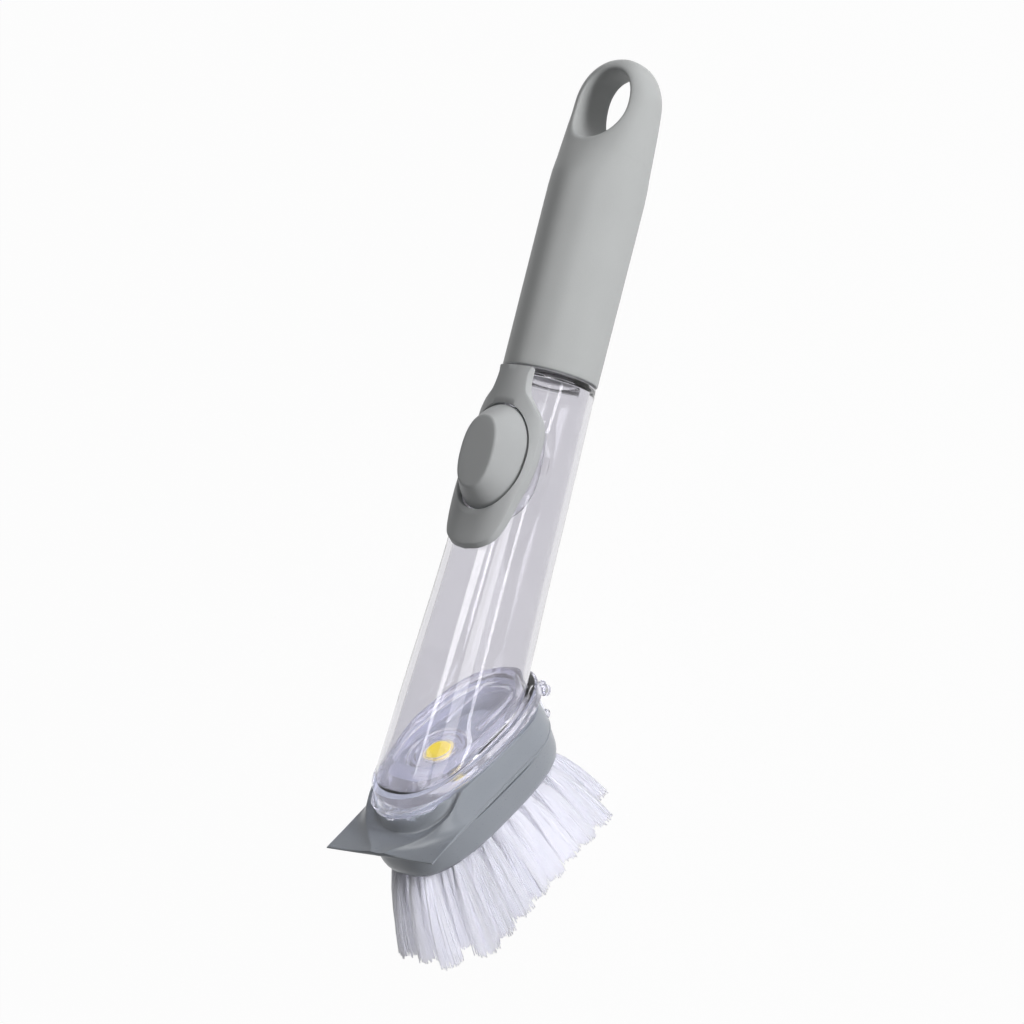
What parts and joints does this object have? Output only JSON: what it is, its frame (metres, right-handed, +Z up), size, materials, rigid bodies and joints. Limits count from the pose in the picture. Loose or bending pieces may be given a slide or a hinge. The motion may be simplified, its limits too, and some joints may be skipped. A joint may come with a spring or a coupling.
{
  "type": "dish wand",
  "caption": "Soap-dispensing dish brush: clear tube with a pump button, screw-on handle with a hang hole, and a latched pull-off brush head with a scraper toe.",
  "frame": {"origin": "middle of the bounding box, on the surface the wand lies on", "axes": "+X from the brush head to the hang hole, +Z up on the button side, +Y across"},
  "size_m": [0.272, 0.0416, 0.0833],
  "materials": {
    "soft_grip": "soft satin grey",
    "button_plastic": "satin grey",
    "shell_plastic": "satin cool grey",
    "inner_plastic": "moulded",
    "clear_plastic": "clear, polished",
    "clear_silicone": "clear, soft",
    "valve_silicone": "yellow, soft",
    "seal_rubber": "black, soft",
    "steel": "drawn wire",
    "bristle": "white nylon filaments"
  },
  "bodies": {
    "reservoir": {"reservoir_tube": "clear_plastic", "reservoir_base": "clear_plastic", "dispensing_valve": "valve_silicone", "valve_retainer": "clear_plastic", "button_bezel": "button_plastic", "pump_cup": "clear_silicone", "latch_pin": "steel"},
    "neck_seal": {"neck_gasket": "seal_rubber"},
    "handle": {"handle_grip": "soft_grip", "handle_plug": "inner_plastic"},
    "button": {"push_button": "button_plastic"},
    "latch": {"release_latch": "clear_plastic"},
    "brush_head": {"head_shell": "shell_plastic", "bristle_plate": "shell_plastic", "tuft_anchors": "steel", "bristle_row_1": "bristle", "bristle_row_2": "bristle", "bristle_row_3": "bristle", "bristle_row_4": "bristle", "bristle_row_5": "bristle", "bristle_row_6": "bristle", "bristle_row_7": "bristle", "bristle_row_8": "bristle", "bristle_row_9": "bristle", "bristle_row_10": "bristle"}
  },
  "joints": [
    {"name": "button_press", "type": "slide", "parent": "reservoir", "child": "button", "axis": [-0.2351, 0, -0.972], "range_m": [0, 0.0035], "stiffness_N_per_m": 1500, "deforming": ["pump_cup"]},
    {"name": "seal_lift", "type": "slide", "parent": "reservoir", "child": "neck_seal", "axis": [0.972, 0, -0.2351], "range_m": [0, 0.009]},
    {"name": "handle_unscrew", "type": "hinge", "parent": "neck_seal", "child": "handle", "pos_m": [0.03837, 0, 0.02864], "axis": [0.972, 0, -0.2351], "range_deg": [0, 540]},
    {"name": "latch_swing", "type": "hinge", "parent": "reservoir", "child": "latch", "pos_m": [-0.05511, 0, 0.02854], "axis": [0, -1, 0], "range_deg": [0, 35]},
    {"name": "head_release", "type": "slide", "parent": "reservoir", "child": "brush_head", "axis": [-0.8049, 0, -0.5935], "range_m": [0, 0.03]}
  ],
  "couplings": [
    {"joint": "seal_lift", "follows": "handle_unscrew", "m_per_rad": 0.00095493}
  ]
}
